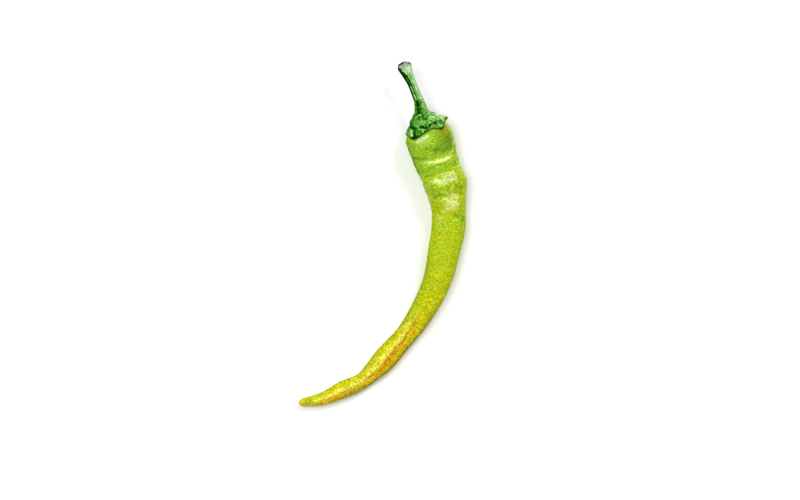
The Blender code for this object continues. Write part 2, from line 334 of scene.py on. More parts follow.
# How high the smaller wrinkles are, as a share of the others
SMALL_WRINKLES = 0.5
# The crack that runs along the seam: how open it is, and its depth and width
CRACK_OPEN = [
    (109, 0), (112, 0.35), (114, 0.6), (117, 0.85), (119, 0.35), (121, 0.25), (123, 0.9), (128, 1),
    (131, 0.6), (136, 0.6), (140, 0.35), (146, 0.3), (150, 0.25), (153.5, 0.75), (157, 0.35), (166, 0.3),
    (178, 0.12), (190, 0),
]
CRACK_DEPTH, CRACK_WIDTH = 0.16, 0.34
# How many degrees the crack turns off the seam's line
CRACK_TURN = [
    (109, 0), (114, 1), (119, 4), (123, 0), (127, -8), (129, -8), (132, 1), (137, -1), (143, -2), (148, -6),
    (152, -2), (156, 6), (161, 4), (190, 0),
]


def crack_past(station, angle):
    """How many millimetres a point is past the seam's crack, to its left."""
    turn = past(angle, value_at(SEAM_ANGLE, station) + value_at(CRACK_TURN, station))
    return np.radians(turn) * value_at(HALF_WIDTH, station)


def fine_radius(station, angle):
    """The fruit's radius with its small relief."""
    height = value_at(WRINKLE_HEIGHT, station)
    wrinkles = height * waves(station, angle, *WRINKLE_WAVES)
    wrinkles += SMALL_WRINKLES * height * waves(station, angle, *SMALL_WRINKLE_WAVES)
    pleats = value_at(PLEAT_HEIGHT, station) * waves(station, angle, *PLEAT_WAVES)
    crack = CRACK_DEPTH * value_at(CRACK_OPEN, station) * bump(crack_past(station, angle), CRACK_WIDTH)
    return np.maximum(fruit_radius(station, angle) + wrinkles + pleats - crack, 0.0)


# How ripe the fruit is along it, from green at 0 to yellow at 1
RIPENESS = [
    (0, 0.36), (14, 0.32), (20, 0.36), (30, 0.38), (38, 0.46), (50, 0.54), (58, 0.52), (75, 0.55),
    (90, 0.59), (105, 0.66), (118, 0.7), (130, 0.76), (145, 0.76), (160, 0.8), (172, 0.8), (182, 0.76),
    (192, 0.66), (196, 0.66),
]
# How much riper its right side is
RIPER_SIDE = [
    (0, -0.04), (14, -0.08), (24, 0.03), (48, 0), (60, 0), (110, 0.1), (145, 0.1), (196, 0),
]
# How uneven that is, and the noise that it follows
RIPE_UNEVEN, RIPE_WAVES = 0.05, (21, 9.0, 4)
# Patches that are greener or riper
RIPE_PATCHES = [
    (13, 42, 5, 30, -0.14), (15, 172, 9, 16, -0.22), (16, 145, 8, 18, -0.08), (11, 110, 4, 34, -0.06),
    (30, 35, 3, 20, -0.1), (42, 130, 5, 30, -0.06), (42, 60, 3, 24, 0.1), (43, 15, 4, 12, -0.16),
    (57, 36, 4, 22, -0.24), (108, 38, 7, 20, -0.16), (94, 20, 5, 16, -0.1), (112, 150, 10, 18, -0.06),
    (134, 152, 9, 18, -0.05), (174, 158, 9, 22, -0.14), (163, 60, 4, 14, -0.12), (189, 110, 3, 60, -0.05),
    (195, 90, 2, 90, 0.16),
]
# How orange it is along the seam's right side
AMBER = [
    (106, 0), (112, 0.35), (120, 0.5), (128, 0.5), (138, 0.85), (148, 0.85), (157, 0.6), (168, 0.7),
    (178, 0.85), (186, 0.5), (192, 0),
]
# Where that is in full, starts to fade and ends, as shares of half the fruit's width from the crack
AMBER_FULL, AMBER_FADE, AMBER_END = 0.10, 0.35, 1.0
# How uneven that is, and the noise that it follows
AMBER_UNEVEN, AMBER_WAVES = 0.35, (23, 7.0, 3)
# The narrow orange border of the crack: strength, width
BORDER_AMBER, BORDER_WIDTH = 0.6, 2 * CRACK_WIDTH
# How strong the skin's light and dark grain is
GRAIN = [(0, 0.95), (50, 1), (68, 0.8), (90, 0.8), (104, 1.05), (125, 1.15), (196, 1.15)]
# The painted highlight along the ridge left of the seam, and how far left it is and how wide, in degrees
RIDGE_HIGHLIGHT = [(108, 0), (116, 0.4), (128, 0.7), (138, 0.7), (150, 0.9), (165, 1), (182, 1), (190, 0.25)]
RIDGE_PLACE, RIDGE_WIDTH = 17.0, 16.0
# Painted olive-brown shade on the tail's flanks, along it, and where it is round the fruit: angle, share,
# width in degrees
FLANK_SHADE = [(96, 0), (110, 0.55), (122, 0.9), (150, 0.9), (172, 0.6), (184, 0.25), (194, 0)]
FLANK_SHADE_PLACES = [(10, 1, 27), (176, 0.55, 20)]
# Patches of the ochre shade that the calyx leaves on the shoulder, and painted highlights
OCHRE = [(7.5, 30, 3.5, 20, 0.75), (9.5, 55, 3, 18, 0.35)]
PALE_HIGHLIGHTS = [
    (9.1, 118, 1.1, 10, 0.5), (8.3, 104, 1, 10, 0.5), (7.6, 91, 0.9, 8, 0.25), (42, 152, 5, 12, 0.3),
    (57, 122, 4, 16, 0.22), (34, 158, 4, 10, 0.3), (45.4, 78, 4.4, 24, 0.62), (35.6, 78, 1.8, 34, 0.3),
    (23.6, 76, 2.2, 32, 0.3), (11, 112, 3, 34, 0.2), (49, 78, 2.2, 22, 0.35), (9, 12, 4, 13, 0.55),
    (15, 13, 3.5, 12, 0.6), (33, 12, 5, 13, 0.55), (45, 9, 6, 13, 0.65),
]
# Painted highlights on the folds, as lines
HIGHLIGHT_STROKES = [
    (116, 22, 102, 22.6, 0.7, 0.45), (100, 22.8, 84, 23.7, 1.3, 0.55), (84, 23.7, 64, 24.2, 1.45, 0.78),
    (64, 24.2, 48, 23.4, 1.4, 0.66), (48, 23.4, 38, 22.4, 1.4, 0.4), (96, 26.4, 84, 26.8, 0.6, 0.4),
    (44, 21.2, 24, 20.4, 0.8, 0.4), (124, 35, 112, 35.6, 0.7, 0.6), (108, 35.4, 102, 36.2, 0.7, 0.95),
    (95, 36.2, 62, 36.2, 0.7, 0.25), (96, 34, 52, 34.6, 0.6, 0.4), (100, 43, 86, 44.4, 0.7, 0.6),
    (72, 41.8, 60, 43.2, 1.2, 0.75), (78, 46.6, 60, 46.4, 0.9, 0.55), (104, 49.6, 74, 48.8, 0.55, 0.85),
    (112, 52, 84, 51.6, 0.8, 0.35),
]
# The gaps between the short dabs that the longest painted highlight is made of
HIGHLIGHT_GAPS = [(angle, 22.2, angle - 2, 25.4, 0.26, -0.38) for angle in range(50, 92, 8)]
# Painted greyish glints beside them
SHEEN_STROKES = [
    (80, 36.2, 54, 36, 0.75, 0.95), (92, 37, 84, 36.8, 0.5, 0.5), (86, 43.6, 78, 45.4, 0.9, 0.7),
    (66, 46.8, 56, 47.4, 0.6, 0.65), (98, 48.8, 82, 49.8, 0.45, 0.6), (122, 9, 98, 8, 0.9, 0.85),
    (126, 21.4, 112, 21.4, 0.5, 0.3),
]
# Painted shade in the creases of the folds and along the edges and flanks, and a few darker green spots of
# the skin's own colour
SHADE_STROKES = [
    (158, 18.8, 128, 19.5, 0.75, 0.62), (120, 19.8, 98, 20.4, 0.6, 0.5), (104, 15, 74, 16.8, 1.9, 0.38),
    (74, 16.8, 34, 17.2, 2.4, 0.6), (60, 13.6, 34, 14, 2, 0.35), (62, 8.4, 32, 9.6, 1.4, 0.4),
    (172, 15, 164, 25, 2.2, 0.6), (104, 25.4, 88, 25.6, 0.4, 0.4), (95, 28.8, 32, 29.8, 1.2, 0.28),
    (88, 26.2, 58, 26.8, 0.5, 0.35), (122, 30.6, 62, 32.4, 1.3, 0.36), (136, 29.6, 112, 31, 0.6, 0.3),
    (134, 37.8, 112, 38.6, 0.8, 0.45), (128, 41.2, 106, 40.6, 1.1, 0.4), (62, 38.4, 44, 39.4, 1.1, 0.5),
    (96, 38.6, 74, 39.4, 0.35, 0.35), (66, 51, 50, 54, 0.5, 0.3), (66, 54.6, 36, 57, 1.4, 0.45),
    (158, 82, 162, 120, 3, 0.26), (176, 98, 177, 150, 1.2, 0.5), (50, 160, 46, 170, 1.8, 0.55),
    (80, 153, 72, 155, 0.4, 0.6), (96, 190.2, 78, 192, 2.2, 0.26),
]
# The deeper orange beside the crack
RUST_STROKES = [
    (86, 116, 86, 120, 1.1, 0.45), (78, 131.5, 75, 140, 1.9, 0.8), (72, 141, 64, 147, 2, 0.55),
    (74, 151.5, 72, 155, 1.1, 0.6), (70, 166, 64, 180, 1.3, 0.4),
]
# Millimetres a radian in the lists of lines on the fruit
FRUIT_CHART = 11.0


def skin_place(station, angle, radius):
    """Where the noise of a skin is read: along its middle line, to the right of it and above it."""
    turn = np.radians(angle)
    return np.stack(np.broadcast_arrays(station, radius * np.cos(turn), radius * np.sin(turn)), axis=-1)


def fruit_marks(station, angle):
    """What the fruit's material reads at its points."""
    ripe = value_at(RIPENESS, station) + value_at(RIPER_SIDE, station) * np.cos(np.radians(angle))
    ripe += patches(RIPE_PATCHES, station, angle) + RIPE_UNEVEN * waves(station, angle, *RIPE_WAVES)
    half_width = value_at(HALF_WIDTH, station)
    from_crack = crack_past(station, angle)
    crack_open = value_at(CRACK_OPEN, station)
    beside = rise(-from_crack, 0.0, AMBER_FULL * half_width)
    beside *= rise(from_crack, -AMBER_END * half_width, -AMBER_FADE * half_width)
    amber = value_at(AMBER, station) * beside
    amber *= 1 + AMBER_UNEVEN * waves(station, angle, *AMBER_WAVES)
    amber += BORDER_AMBER * crack_open * bump(from_crack, BORDER_WIDTH)
    from_ridge = apart(angle, value_at(SEAM_ANGLE, station) + RIDGE_PLACE)
    pale_highlight = patches(PALE_HIGHLIGHTS, station, angle) + strokes(HIGHLIGHT_STROKES + HIGHLIGHT_GAPS, station, angle, FRUIT_CHART)
    # The ridge, pale and sheen marks are painted highlights and glints, the shade and dull marks painted
    # shade
    return {
        "ripe": ripe,
        "grain": value_at(GRAIN, station),
        "amber": amber,
        "rust": strokes(RUST_STROKES, station, angle, FRUIT_CHART),
        "crack": crack_open * bump(from_crack, CRACK_WIDTH),
        "ridge_highlight": value_at(RIDGE_HIGHLIGHT, station) * bump(from_ridge, RIDGE_WIDTH),
        "ochre": patches(OCHRE, station, angle),
        "pale_highlight": pale_highlight,
        "grey_glint": strokes(SHEEN_STROKES, station, angle, FRUIT_CHART),
        "shade": strokes(SHADE_STROKES, station, angle, FRUIT_CHART),
        "flank_shade": value_at(FLANK_SHADE, station) * places_round(FLANK_SHADE_PLACES, angle),
        "skin_place": skin_place(station, angle, half_width),
    }


def ring_stations():
    """The fruit's rings from its tip to its top, as close together as RING_SPACING says."""
    steps = 8000
    fine = np.linspace(0, FRUIT_LENGTH, steps)
    rings_up_to = np.cumsum(1 / np.interp(fine, *np.transpose(RING_SPACING))) * fine[1]
    count = round(rings_up_to[-1])
    return np.interp(np.linspace(rings_up_to[-1], rings_up_to[0], count), rings_up_to, fine)


def ring_angles(segments):
    """The angles of a ring's points."""
    return np.arange(segments) * 360.0 / segments


def make_fruit():
    """The fruit's skin, with its marks and material."""
    station = ring_stations()[:, None]
    angle = ring_angles(FRUIT_SEGMENTS)[None, :]
    rings = fruit_skin(station, angle, fine_radius)
    return closed_skin("fruit_skin", rings, fruit_marks(station, angle), fruit_material())


# The calyx and the stalk


def over_skin(station, angle, height):
    """Points at a height over the fruit's skin, square to it."""
    station, angle, height = np.broadcast_arrays(station, angle, height)
    least, turn = 0.4, 1.0
    near = np.maximum(station, least)
    down = fruit_skin(near + least / 2, angle) - fruit_skin(near - least / 2, angle)
    round_it = fruit_skin(near, angle + turn) - fruit_skin(near, angle - turn)
    return fruit_skin(station, angle) + height[..., None] * unit(np.cross(round_it, down))


def stalk_skin(station, angle, relief):
    """Points on the stalk: ribbed lengthwise, with its free end slanting."""
    ahead = curve_through(STALK_KNOTS, np.minimum(station + STEP, STALK_LENGTH))
    behind = curve_through(STALK_KNOTS, np.maximum(station - STEP, 0.0))
    along = unit(behind - ahead)
    right, up = section_axes(along)
    crest = np.abs(np.cos(np.radians(STALK_RIBS / 2 * (angle - STALK_RIB_ANGLE))))
    toward, width, middle, reach, depth = HOLLOW
    hollow = depth * bump(apart(angle, toward), width) * bump(station - middle, reach)
    ribbed = 1 + STALK_RIB_DEPTH * (crest**STALK_RIB_POWER - 0.5)
    radius = value_at(STALK_HALF_WIDTH, station) * ribbed - hollow + relief
    turn = np.radians(angle)[..., None]
    offset = radius[..., None] * (np.cos(turn) * right + np.sin(turn) * up)
    slant = SCAR_SLANT * np.clip(1 - (STALK_LENGTH - station) / SLANT_REACH, 0, 1) ** 2
    return curve_through(STALK_KNOTS, station) + offset + slant[..., None] * offset[..., 2:] * along


def rim_station(angle):
    """How far down the shoulder the calyx reaches at an angle."""
    return RIM_STATION + places_round([(toward, reach, width) for toward, reach, _, width in TEETH], angle)


def brim_lift(share, angle):
    """How far the teeth stand off the fruit at a share of the way from the middle to the rim."""
    at_rim = places_round([(toward, lift, width) for toward, _, lift, width in TEETH], angle)
    return at_rim * np.clip((share - LIFT_START) / (1 - LIFT_START), 0, 1) ** LIFT_POWER


# Small relief of the calyx, as lines whose amount is a height
CALYX_CREASES = [
    (192, 2.3, 150, 3.1, 0.4, -0.4), (150, 3.1, 119, 3.6, 0.4, -0.5), (110, 3, 101, 4.1, 0.4, -0.5),
    (101, 4.1, 90, 4.5, 0.4, -0.5), (90, 4.5, 76, 4.2, 0.4, -0.5), (76, 4.2, 62, 3.5, 0.35, -0.35),
    (133, 3.9, 127, 7.2, 0.32, -0.4), (62, 5, 45, 4.8, 0.3, -0.35), (70, 5.4, 60, 6, 0.3, -0.3),
    (56, 6.2, 50, 6.6, 0.3, -0.35), (44, 5.6, 40, 6.8, 0.3, -0.3), (38, 4, 30, 5.4, 0.35, -0.25),
    (336, 4.3, 300, 3.5, 0.4, -0.35), (300, 3.5, 262, 4.1, 0.4, -0.35), (262, 4.1, 232, 3.4, 0.4, -0.35),
    (232, 3.4, 202, 2.6, 0.4, -0.3),
]
CALYX_RIDGES = [
    (141, 4.2, 134, 6.7, 0.45, 0.35), (113, 3.3, 115, 4.4, 0.5, 0.3), (105, 4.6, 104, 6.3, 0.3, 0.25),
    (88, 5.3, 68, 4.7, 0.35, 0.25), (68, 4.7, 50, 4.2, 0.35, 0.25), (4, 2.4, 24, 4, 0.4, 0.25),
    (24, 4, 33, 6, 0.4, 0.25), (60, 5.6, 47, 5.6, 0.3, 0.25), (224, 3.4, 226, 6.6, 0.45, 0.25),
    (272, 3.4, 271, 6.2, 0.45, 0.25), (318, 3.4, 319, 6.6, 0.45, 0.25),
]
# Millimetres a radian in the lists of lines on the calyx
CALYX_CHART = 9.5
# The height of its crumples, and the noise that they follow
CRUMPLE_HEIGHT, CRUMPLE_WAVES = 0.06, (31, 2.2, 30)
# Between which stations this relief starts, and how long before the rim it starts to end
RELIEF_START, RELIEF_END = (1.0, 2.2), 0.8


def calyx_relief(station, angle):
    """The small relief of the calyx, which ends at its rim."""
    relief = strokes(CALYX_CREASES, station, angle, CALYX_CHART)
    relief += strokes(CALYX_RIDGES, station, angle, CALYX_CHART)
    relief += CRUMPLE_HEIGHT * waves(station, angle, *CRUMPLE_WAVES)
    return relief * (rise(rim_station(angle) - station, 0.0, RELIEF_END) * rise(station, *RELIEF_START))


def crown_skin(way, angle):
    """Points on the calyx's crown, from the stalk out to the crease: it bulges between each two ribs."""
    station, height = curve_through(CROWN, np.full_like(angle, way)).T
    dome = 1.0 - sum(bump(apart(angle, rib), RIB_WIDTH) for rib in RIB_ANGLES)
    height = height + (DOME_HEIGHT * dome - RIB_DEPTH) * bump(way - BULGE_WAY, BULGE_REACH)
    height += calyx_relief(station, angle)
    return over_skin(station, angle, height + brim_lift(station / rim_station(angle), angle))


def brim_skin(way, angle):
    """Points on the calyx's brim, from the crease out to the rim."""
    rim = rim_station(angle)
    station = CREASE + way * (rim - CREASE)
    fade = min(1.0, PLEAT_SLOPE * way, PLEAT_FALL - PLEAT_SLOPE * way)
    height = value_at(BRIM, np.full_like(angle, way)) + places_round(PLEATS, angle) * fade
    height += calyx_relief(station, angle)
    return over_skin(station, angle, height + brim_lift(station / rim, angle))


# Small relief of the stalk: the height of fine ribs along it, and of a net of wrinkles near the calyx
RIPPLE_HEIGHT = [(0, 0.05), (6, 0.09), (11, 0.05), (26, 0.03), (31, 0.05)]
NET_HEIGHT = [(0, 0.06), (5, 0.12), (10, 0.04), (14, 0), (31, 0)]
# The noises that they follow
RIPPLE_WAVES, NET_WAVES = (41, 30.0, 17), (43, 1.7, 9)


def ribbed_stalk(station, angle):
    """Points on the stalk with its small relief."""
    relief = value_at(RIPPLE_HEIGHT, station) * waves(station, angle, *RIPPLE_WAVES)
    relief += value_at(NET_HEIGHT, station) * waves(station, angle, *NET_WAVES)
    return stalk_skin(station, angle, relief)


def calyx_rings():
    """Rings from the middle of the calyx's underside to its rim, back over it, and up the stalk to its end.

    Beside them come, ring by ring, the station on the calyx (negative under it), the station on the stalk,
    and the share of the way to the middle of the scar.
    """
    angle = ring_angles(CALYX_SEGMENTS)
    rim = rim_station(angle)
    rings, on_calyx, on_stalk, to_scar = [], [], [], []

    def add(points, calyx, stalk=0.0, scar=0.0):
        rings.append(points)
        on_calyx.append(np.broadcast_to(calyx, angle.shape))
        on_stalk.append(np.full_like(angle, stalk))
        to_scar.append(np.full_like(angle, scar))

    for share in np.linspace(0, UNDER_SHARE, UNDER_RINGS):
        add(over_skin(share * rim, angle, CALYX_GAP + brim_lift(share, angle)), -share * rim)
    thickness = BRIM[-1][1] - CALYX_GAP
    for turn in np.linspace(-np.pi / 2, np.pi / 2, EDGE_RINGS + 2)[1:-1]:
        height = CALYX_GAP + thickness * (1 + np.sin(turn)) / 2
        bulge = 1 + EDGE_BULGE * np.cos(turn)
        add(over_skin(bulge * rim, angle, height + brim_lift(1.0, angle)), rim)
    for way in np.linspace(1.0, 0.0, BRIM_RINGS):
        add(brim_skin(way, angle), CREASE + way * (rim - CREASE))
    for way in np.linspace(1.0, 0.0, CROWN_RINGS + 1)[1:]:
        add(crown_skin(way, angle), curve_through(CROWN, np.full_like(angle, way))[:, 0])
    root, free = STALK_ROOT
    crown = rings[-1]
    for way in np.linspace(0, 1, ROOT_RINGS + 2)[1:-1]:
        ease = way * (2 - way)
        station = root + (free - root) * way
        add((1 - ease) * crown + ease * ribbed_stalk(np.full_like(angle, station), angle), 0.0, station)
    for station in np.linspace(free, STALK_LENGTH - SCAR_LENGTH, STALK_RINGS):
        add(ribbed_stalk(np.full_like(angle, station), angle), 0.0, station)
    last = rings[-1]
    middle = last.mean(axis=0)
    quarter = len(last) // 4
    out = unit(np.cross(last[quarter] - middle, last[0] - middle))
    for share in np.linspace(0, 1, SCAR_RINGS + 1)[1:]:
        width, height = curve_through(SCAR_PROFILE, share)
        add(middle + (last - middle) * width + out * height, 0.0, STALK_LENGTH, share)
    return [np.array(part) for part in (rings, on_calyx, on_stalk, to_scar)]


# Painted light and shade on the calyx, and on the stalk, as patches: paler on the lobes and sides that face
# the light, darker in creases, pits and on the sides turned away
CALYX_SHADING = [
    (4.6, 14, 2, 20, 0.5), (2.2, 30, 1.5, 26, 0.6), (6.2, 12, 0.5, 7, -0.6), (1.8, 150, 1, 12, -0.7),
    (2.6, 112, 0.8, 9, 0.2), (2.2, 182, 1, 12, -0.9), (5.6, 115, 1, 7, -0.25), (5, 96, 0.7, 9, 0.25),
    (5.2, 76, 0.6, 9, 0.25), (5, 62, 0.5, 6, 0.5), (6.4, 46, 0.6, 4, 0.45), (5.4, 50, 0.5, 4, 0.4),
    (4.6, 55, 0.6, 6, -0.5), (6.3, 64, 0.6, 5, -0.6), (7.2, 52, 0.7, 6, -0.8), (5.6, 42, 0.6, 4, -0.4),
    (7.5, 129, 0.9, 20, -1.2), (2.3, 248, 1.1, 15, 0.35), (2.3, 296, 1.1, 15, 0.35),
    (2.2, 224, 0.9, 7, -0.6), (2.2, 272, 0.9, 7, -0.6), (2.2, 318, 0.9, 7, -0.6), (5.4, 248, 0.9, 10, -0.35),
    (5.4, 295, 0.9, 10, -0.35),
]
STALK_SHADING = [
    (22, 45, 9, 42, 0.6), (29, 60, 3, 50, 0.6), (11, 40, 5, 36, 0.4), (5, 35, 4, 34, 0.15),
    (4, 95, 4, 45, -0.38), (27, 150, 3.2, 30, -1.7), (27.2, 124, 2.4, 17, -1.7), (24.6, 112, 1.6, 10, -1),
    (28, 200, 4.5, 50, -1.5), (19, 162, 6.5, 38, -1.5), (8.5, 118, 2, 20, -1.05), (4.5, 105, 2.5, 30, -0.15),
    (3.5, 145, 4, 26, -0.35), (7.5, 95, 2.5, 18, -0.35), (12.5, 150, 2.5, 25, -0.3),
]
# Painted light and shade on the calyx, and on the stalk, as lines: highlights on ribs and edges, shade in
# creases
CALYX_SHADING_LINES = [
    (196, 2.3, 152, 3.1, 0.4, -0.9), (152, 3.1, 122, 3.6, 0.35, -1), (112, 2.8, 104, 3.8, 0.35, -0.9),
    (104, 3.8, 90, 4.5, 0.52, -1.4), (90, 4.5, 76, 4.2, 0.38, -1), (76, 4.2, 62, 3.5, 0.28, -0.5),
    (62, 3.5, 49, 4.1, 0.3, -0.8), (49, 4.1, 40, 5, 0.3, -0.9), (40, 5, 31, 4.9, 0.22, -0.6),
    (31, 4.9, 33, 6, 0.22, -0.4), (130, 4.4, 125, 7.2, 0.75, -1.9), (140, 4.5, 135, 6.3, 0.48, 0.95),
    (103, 4.8, 101, 6.2, 0.35, 0.6), (108, 5.2, 106, 6.6, 0.3, -0.7), (5, 2, 22, 3.4, 0.35, 0.5),
    (22, 3.4, 26, 5.2, 0.3, 0.4), (118, 1, 84, 1, 0.2, -0.7), (110, 1.7, 92, 1.9, 0.18, -0.6),
    (84, 1.9, 66, 1.7, 0.2, -0.6), (60, 2.6, 40, 2.6, 0.2, -0.5), (40, 3.4, 24, 3.2, 0.2, -0.4),
    (336, 4.3, 300, 3.5, 0.34, -0.9), (300, 3.5, 262, 4.1, 0.36, -1), (262, 4.1, 232, 3.4, 0.34, -0.9),
    (232, 3.4, 202, 2.6, 0.34, -0.7), (224, 4, 226, 6.4, 0.5, 0.8), (272, 4.6, 271, 6.2, 0.5, 0.75),
    (318, 4.2, 319, 6.6, 0.5, 0.8),
]
STALK_SHADING_LINES = [
    (99, 24.5, 104, 19, 0.3, -1.1), (104, 19, 100, 12, 0.3, -1.1), (100, 12, 96, 8, 0.35, -0.35),
    (124, 18.5, 121, 15, 0.26, 1.6), (121, 14, 116, 10.8, 0.32, 1.4), (158, 31.6, 120, 30.8, 0.35, 2.4),
    (120, 30.8, 103, 28.6, 0.32, 1.6), (103, 28.6, 97, 25.6, 0.3, 1.3), (96, 25.6, 92, 20, 0.25, 0.6),
    (62, 27, 70, 22.5, 0.3, -0.6), (75, 20, 78, 14, 0.3, -0.25), (132, 2.8, 104, 2.2, 0.24, -0.8),
    (102, 2.9, 76, 3.2, 0.24, -0.7), (124, 4.4, 98, 3.9, 0.24, -0.8), (94, 4.9, 68, 5, 0.22, -0.55),
    (126, 6, 102, 5.6, 0.24, -0.6), (126, 3.6, 100, 3.2, 0.22, 0.55), (108, 5.1, 84, 4.3, 0.22, 0.5),
    (90, 6.4, 70, 6.2, 0.22, 0.4),
]
# Millimetres a radian in the list of lines on the stalk
STALK_CHART = 2.8
# Greyish patches of the stalk, a waxy bloom with painted light on the side that faces it, and smooth, bright
# green ones of the calyx
STALK_LIT_BLOOM = [(26, 35, 7, 40, 0.9), (16, 25, 7, 36, 0.8), (31, 70, 2.5, 50, 0.7)]
CALM = [(1.6, 128, 0.8, 12, 0.8), (5.6, 119, 0.8, 5, 0.7), (4.2, 128, 0.6, 5, 0.4)]
# How far the calyx's skin is from the stalk's middle line
CALYX_REACH = [(0, 2.8), (0.6, 3.2), (1.5, 5), (3, 7.2), (6, 10), (8, 11.5)]
# The width of the painted shadow along the calyx's rim
RIM_SHADOW_WIDTH = 0.45
# Where the scar's pale face starts, as shares of the way to the scar's middle
SCAR_FACE = (0.3, 0.42)
# The dark edge round that face, in shares of the same way: how far in, how wide, and how much further in on
# one side (angle, share, width in degrees)
EDGE_INWARD, EDGE_WIDTH, EDGE_FURTHER = 0.14, 0.24, [(262, 0.24, 46)]
# How dark that edge is round the scar: angle, strength, width in degrees
EDGE_DARK = [(232, 3, 42), (350, 1.8, 22)]
# The stations over which the stalk's net gives way to fibres
FIBRE_START = (4.0, 10.0)


def calyx_marks(on_calyx, on_stalk, to_scar):
    """What the material of the calyx and the stalk reads at their points."""
    angle = np.broadcast_to(ring_angles(CALYX_SEGMENTS), on_calyx.shape)
    top = (on_calyx > 0) & (on_stalk == 0)
    stalk = on_stalk > 0
    on_top = patches(CALYX_SHADING, on_calyx, angle) + strokes(CALYX_SHADING_LINES, on_calyx, angle, CALYX_CHART)
    on_stem = patches(STALK_SHADING, on_stalk, angle) + strokes(STALK_SHADING_LINES, on_stalk, angle, STALK_CHART)
    radius = np.where(stalk, STALK_CHART, np.interp(np.abs(on_calyx), *np.transpose(CALYX_REACH)))
    radius = radius * np.interp(to_scar, *np.transpose(SCAR_PROFILE)[:2])
    inward = EDGE_INWARD + places_round(EDGE_FURTHER, angle)
    scar_edge = bump(to_scar - inward, EDGE_WIDTH) * (to_scar > 0)
    # The tone holds painted light and shade, the mint is painted light on a waxy bloom, the rim a painted
    # shadow
    return {
        "shading_tone": top * on_top + stalk * on_stem,
        "rim": top * bump(rim_station(angle) - on_calyx, RIM_SHADOW_WIDTH),
        "lit_bloom": stalk * patches(STALK_LIT_BLOOM, on_stalk, angle),
        "scar": rise(to_scar, *SCAR_FACE),
        "scar_edge": scar_edge * places_round(EDGE_DARK, angle),
        "fibre": rise(on_stalk, *FIBRE_START),
        "calm": top * patches(CALM, on_calyx, angle),
        "skin_place": skin_place(np.where(stalk, on_stalk, -on_calyx), angle, radius),
    }


def make_calyx_and_stalk():
    """The skin of the calyx and the stalk, with its marks and material."""
    rings, on_calyx, on_stalk, to_scar = calyx_rings()
    marks = calyx_marks(on_calyx, on_stalk, to_scar)
    return closed_skin("calyx_and_stalk_skin", rings, marks, calyx_material())


def closed_skin(name, rings, marks, material):
    """A closed mesh over rings of points, whose first and last ring are one point each, with its marks."""
    count, around = rings.shape[:2]

    def flatten(values):
        inner = values[1:-1].reshape((-1,) + values.shape[2:])
        return np.concatenate([values[:1, 0], inner, values[-1:, 0]])

    def points_of(ring, shift=0):
        """The numbers of a ring's points in the mesh, from the first or from a later one on."""
        return (1 + (ring - 1) * around + (np.arange(around) + shift) % around).tolist()

    end = count - 2
    final = end * around + 1
    faces = [(0, a, b) for a, b in zip(points_of(1), points_of(1, 1))]
    for ring in range(1, end):
        below = ring + 1
        faces.extend(zip(points_of(ring), points_of(below), points_of(below, 1), points_of(ring, 1)))
    faces.extend((a, final, b) for a, b in zip(points_of(end), points_of(end, 1)))
    mesh = bpy.data.meshes.new(name)
    mesh.from_pydata((flatten(rings) * MM).tolist(), [], faces)
    mesh.shade_smooth()
    for mark, values in marks.items():
        values = flatten(np.broadcast_to(values, rings.shape[:2] + values.shape[2:]))
        kind, field = ("FLOAT_VECTOR", "vector") if values.ndim == 2 else ("FLOAT", "value")
        attribute = mesh.attributes.new(mark, kind, "POINT")
        attribute.data.foreach_set(field, values.astype(np.float32).ravel())
    mesh.materials.append(material)
    piece = bpy.data.objects.new(name, mesh)
    bpy.context.scene.collection.objects.link(piece)
    return piece


# The materials

# What noise usually lies between
NOISE_RANGE = (0.3, 0.7)
# The numbers of a colour mix's two inputs, and of its output
MIX_LOW, MIX_HIGH, MIX_RESULT = 6, 7, 2
SHADER_INPUTS = (
    "Base Color", "Roughness", "Specular IOR Level", "Coat Weight", "Coat IOR", "Coat Roughness", "Normal",
)

# Noises of the fruit's skin: grains a millimetre along it and round it, detail, roughness
FRUIT_NOISES = {
    "mottle": (0.50, 0.28, 3.0, 0.55),
    "speckle": (0.95, 0.42, 3.0, 0.6),
    "grain": (1.35, 0.56, 2.0, 0.5),
    "flecks": (2.3, 1.5, 1.0, 0.5),
    "streaks": (0.25, 1.3, 2.0, 0.5),
    "blotches": (0.85, 0.60, 3.0, 0.6),
    "dabs": (0.55, 1.1, 2.0, 0.6),
}
# Its colours from green to yellow, by ripeness, and how far the mottle moves that
RIPE_COLOURS = [
    (0, (92, 138, 16)), (0.3, (143, 187, 38)), (0.44, (162, 191, 28)), (0.55, (164, 182, 8)),
    (0.7, (189, 192, 4)), (0.85, (206, 195, 8)), (1, (226, 206, 40)),
]
RIPE_MOTTLE = (-0.03, 0.03)
# Tints over that, in order: mark, colour, the noise that covers it, its range and what that becomes. The
# first row is painted shade on the flanks, the ridge row a painted highlight and the last row mostly painted
# shade in creases;
# amber and rust are the skin's own colours
FRUIT_TINTS = [
    ("flank_shade", (114, 100, 0), "mottle", (0.3, 0.6, 0.8, 1.05)),
    ("amber", (212, 158, 0), "blotches", (0.3, 0.6, 0.5, 1.1)),
    ("rust", (196, 112, 0), "blotches", (0.35, 0.6, 0.4, 1.1)),
    ("ridge_highlight", (253, 238, 104), "dabs", (0.40, 0.58, 0.0, 1.15)),
    ("ochre", (160, 142, 16), "mottle", (0.3, 0.6, 0.6, 1.1)),
    ("shade", (84, 124, 14), "mottle", (0.3, 0.6, 0.7, 1.2)),
]
CRACK_TINTS = [("crack", (108, 74, 0), "grain", (0.35, 0.6, 0.5, 1.2))]
# Painted highlights and glints over the tints: mark, colour, strength. Then how the blotches break them up,
# and their range
GLINTS = [("pale_highlight", (233, 239, 142), 0.92), ("grey_glint", (192, 206, 156), 0.85)]
GLINT_BLOTCHES, GLINT_RANGE = (0.36, 0.62, 0.35, 1.45), (0.06, 1.05)
